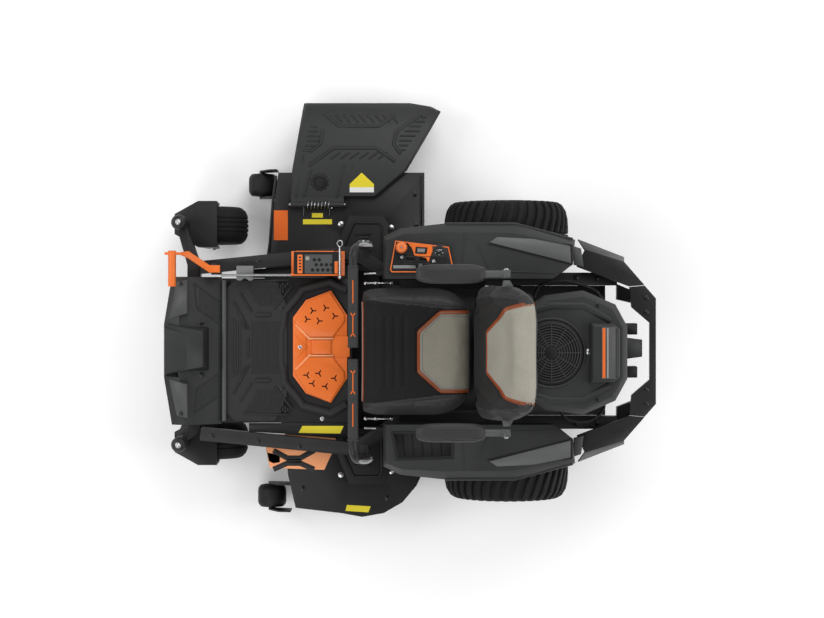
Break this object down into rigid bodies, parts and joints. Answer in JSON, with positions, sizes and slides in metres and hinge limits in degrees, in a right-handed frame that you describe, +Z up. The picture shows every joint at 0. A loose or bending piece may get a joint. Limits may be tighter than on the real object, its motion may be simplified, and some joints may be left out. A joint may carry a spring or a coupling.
{
  "type": "zero turn mower",
  "caption": "Ride-on zero turn lawn mower with a side-discharge deck, high-back seat, twin lap bars, casters and a rear engine.",
  "frame": {"origin": "centre of the bounding box on the ground, chute down and casters trailing", "axes": "+X to the operator's left, +Y to the rear, +Z up"},
  "size_m": [1.6744, 1.91, 1.01],
  "materials": {
    "painted_steel": "dark grey satin paint",
    "bare_metal": "cast and machined",
    "black_plastic": "black moulded plastic",
    "orange_paint": "orange satin paint",
    "rubber": "black rubber",
    "tyre": "black tyre rubber",
    "vinyl": "dark grey vinyl",
    "steel": "bare steel"
  },
  "bodies": {
    "chassis": {"frame_rail_right": "painted_steel", "frame_rail_left": "painted_steel", "front_beam": "painted_steel", "engine_mount": "painted_steel", "rear_guard_right": "painted_steel", "rear_guard_left": "painted_steel", "rear_guard_centre": "painted_steel", "nose_guard": "black_plastic", "floor_pan": "painted_steel", "floor_mat": "rubber", "side_step": "orange_paint", "side_pod_right": "black_plastic", "side_pod_left": "black_plastic", "control_panel": "black_plastic", "height_selector": "orange_paint", "seat_base": "painted_steel", "engine_block": "bare_metal", "engine_shroud": "black_plastic", "air_filter_cover": "black_plastic", "muffler": "bare_metal", "transaxle_right": "bare_metal", "transaxle_left": "bare_metal"},
    "hatch": {"access_hatch": "orange_paint"},
    "seat_tilt": {"seat_pan": "painted_steel"},
    "seat": {"seat_cushion": "vinyl", "seat_back": "vinyl"},
    "armrest_right": {"armrest_right": "vinyl"},
    "armrest_left": {"armrest_left": "vinyl"},
    "lever_right": {"lever_base_right": "painted_steel"},
    "lever_left": {"lever_base_left": "painted_steel"},
    "lap_bar_right": {"lap_bar_right": "painted_steel", "lap_grip_right": "rubber"},
    "lap_bar_left": {"lap_bar_left": "painted_steel", "lap_grip_left": "rubber"},
    "blade_knob": {"blade_knob": "orange_paint"},
    "throttle": {"throttle_lever": "black_plastic"},
    "key": {"ignition_key": "steel"},
    "crankshaft": {"drive_pulley": "steel", "fan_screen": "black_plastic"},
    "rear_wheel_right": {"rear_tyre_right": "tyre", "rear_rim_right": "painted_steel"},
    "rear_wheel_left": {"rear_tyre_left": "tyre", "rear_rim_left": "painted_steel"},
    "caster_right": {"caster_fork_right": "painted_steel"},
    "caster_left": {"caster_fork_left": "painted_steel"},
    "caster_wheel_right": {"caster_tyre_right": "tyre", "caster_rim_right": "painted_steel"},
    "caster_wheel_left": {"caster_tyre_left": "tyre", "caster_rim_left": "painted_steel"},
    "deck": {"deck_shell": "painted_steel", "spindle_cover_right": "black_plastic", "spindle_cover_left": "black_plastic", "deck_belt": "rubber"},
    "blade_right": {"blade_spindle_right": "steel"},
    "blade_centre": {"blade_spindle_centre": "steel"},
    "blade_left": {"blade_spindle_left": "steel"},
    "chute": {"discharge_chute": "black_plastic"},
    "gauge_wheel_right": {"gauge_wheel_right": "black_plastic"},
    "gauge_wheel_left": {"gauge_wheel_left": "black_plastic"},
    "lift_pedal": {"lift_pedal": "orange_paint"}
  },
  "joints": [
    {"name": "hatch_hinge", "type": "hinge", "parent": "chassis", "child": "hatch", "pos_m": [0.14775, -0.236, 0.399], "axis": [-1, 0, 0], "range_deg": [0, 60]},
    {"name": "seat_tilt", "type": "hinge", "parent": "chassis", "child": "seat_tilt", "pos_m": [0.16275, -0.171, 0.47], "axis": [1, 0, 0], "range_deg": [0, 50]},
    {"name": "seat_slide", "type": "slide", "parent": "seat_tilt", "child": "seat", "axis": [0, 1, 0], "range_m": [-0.05, 0]},
    {"name": "armrest_right_lift", "type": "hinge", "parent": "seat", "child": "armrest_right", "pos_m": [-0.12825, 0.359, 0.858], "axis": [-1, 0, 0], "range_deg": [0, 80]},
    {"name": "lever_right_swing", "type": "hinge", "parent": "chassis", "child": "lever_right", "pos_m": [-0.25925, -0.172, 0.46], "axis": [1, 0, 0], "range_deg": [-12, 12], "stiffness_Nm_per_rad": 40},
    {"name": "lap_bar_right_open", "type": "hinge", "parent": "lever_right", "child": "lap_bar_right", "pos_m": [-0.24125, -0.172, 0.53], "axis": [0, -1, 0], "range_deg": [0, 40]},
    {"name": "rear_wheel_right_spin", "type": "hinge", "parent": "chassis", "child": "rear_wheel_right", "pos_m": [-0.29825, 0.39, 0.2475], "axis": [1, 0, 0], "continuous": true},
    {"name": "armrest_left_lift", "type": "hinge", "parent": "seat", "child": "armrest_left", "pos_m": [0.45375, 0.359, 0.858], "axis": [-1, 0, 0], "range_deg": [0, 80]},
    {"name": "lever_left_swing", "type": "hinge", "parent": "chassis", "child": "lever_left", "pos_m": [0.58475, -0.172, 0.46], "axis": [1, 0, 0], "range_deg": [-12, 12], "stiffness_Nm_per_rad": 40},
    {"name": "lap_bar_left_open", "type": "hinge", "parent": "lever_left", "child": "lap_bar_left", "pos_m": [0.56675, -0.172, 0.53], "axis": [0, 1, 0], "range_deg": [0, 40]},
    {"name": "rear_wheel_left_spin", "type": "hinge", "parent": "chassis", "child": "rear_wheel_left", "pos_m": [0.62375, 0.39, 0.2475], "axis": [1, 0, 0], "continuous": true},
    {"name": "blade_knob_pull", "type": "slide", "parent": "chassis", "child": "blade_knob", "axis": [0, 0, 1], "range_m": [0, 0.012]},
    {"name": "throttle_swing", "type": "hinge", "parent": "chassis", "child": "throttle", "pos_m": [-0.18925, 0.033, 0.608], "axis": [1, 0, 0], "range_deg": [-25, 25]},
    {"name": "key_turn", "type": "hinge", "parent": "chassis", "child": "key", "pos_m": [-0.22225, 0.117, 0.612], "axis": [0, 0, 1], "range_deg": [0, 60]},
    {"name": "crankshaft_spin", "type": "hinge", "parent": "chassis", "child": "crankshaft", "pos_m": [0.16275, 0.532, 0.3], "axis": [0, 0, 1], "continuous": true},
    {"name": "caster_right_swivel", "type": "hinge", "parent": "chassis", "child": "caster_right", "pos_m": [-0.33725, -0.8926, 0.335], "axis": [0, 0, 1], "continuous": true},
    {"name": "caster_wheel_right_spin", "type": "hinge", "parent": "caster_right", "child": "caster_wheel_right", "pos_m": [-0.33725, -0.7906, 0.14], "axis": [1, 0, 0], "continuous": true},
    {"name": "caster_left_swivel", "type": "hinge", "parent": "chassis", "child": "caster_left", "pos_m": [0.52775, -0.8926, 0.335], "axis": [0, 0, 1], "continuous": true},
    {"name": "caster_wheel_left_spin", "type": "hinge", "parent": "caster_left", "child": "caster_wheel_left", "pos_m": [0.52775, -0.7906, 0.14], "axis": [1, 0, 0], "continuous": true},
    {"name": "deck_lift", "type": "slide", "parent": "chassis", "child": "deck", "axis": [0, 0, 1], "range_m": [0, 0.085]},
    {"name": "pedal_swing", "type": "hinge", "parent": "chassis", "child": "lift_pedal", "pos_m": [-0.15525, -0.751, 0.462], "axis": [1, 0, 0], "range_deg": [0, 20]},
    {"name": "chute_hinge", "type": "hinge", "parent": "deck", "child": "chute", "pos_m": [-0.41925, -0.364, 0.222], "axis": [0, 1, 0], "range_deg": [0, 80]},
    {"name": "blade_centre_spin", "type": "hinge", "parent": "deck", "child": "blade_centre", "pos_m": [0.16275, -0.361, 0.076], "axis": [0, 0, 1], "continuous": true},
    {"name": "blade_left_spin", "type": "hinge", "parent": "deck", "child": "blade_left", "pos_m": [0.58525, -0.186, 0.076], "axis": [0, 0, 1], "continuous": true},
    {"name": "blade_right_spin", "type": "hinge", "parent": "deck", "child": "blade_right", "pos_m": [-0.25975, -0.186, 0.076], "axis": [0, 0, 1], "continuous": true},
    {"name": "gauge_wheel_right_spin", "type": "hinge", "parent": "deck", "child": "gauge_wheel_right", "pos_m": [-0.50725, -0.596, 0.074], "axis": [1, 0, 0], "continuous": true},
    {"name": "gauge_wheel_left_spin", "type": "hinge", "parent": "deck", "child": "gauge_wheel_left", "pos_m": [0.76275, -0.5585, 0.074], "axis": [1, 0, 0], "continuous": true}
  ],
  "couplings": [
    {"joint": "pedal_swing", "follows": "deck_lift", "rad_per_m": 4.1},
    {"joint": "blade_left_spin", "follows": "blade_centre_spin", "ratio": 1},
    {"joint": "blade_right_spin", "follows": "blade_centre_spin", "ratio": 1}
  ]
}
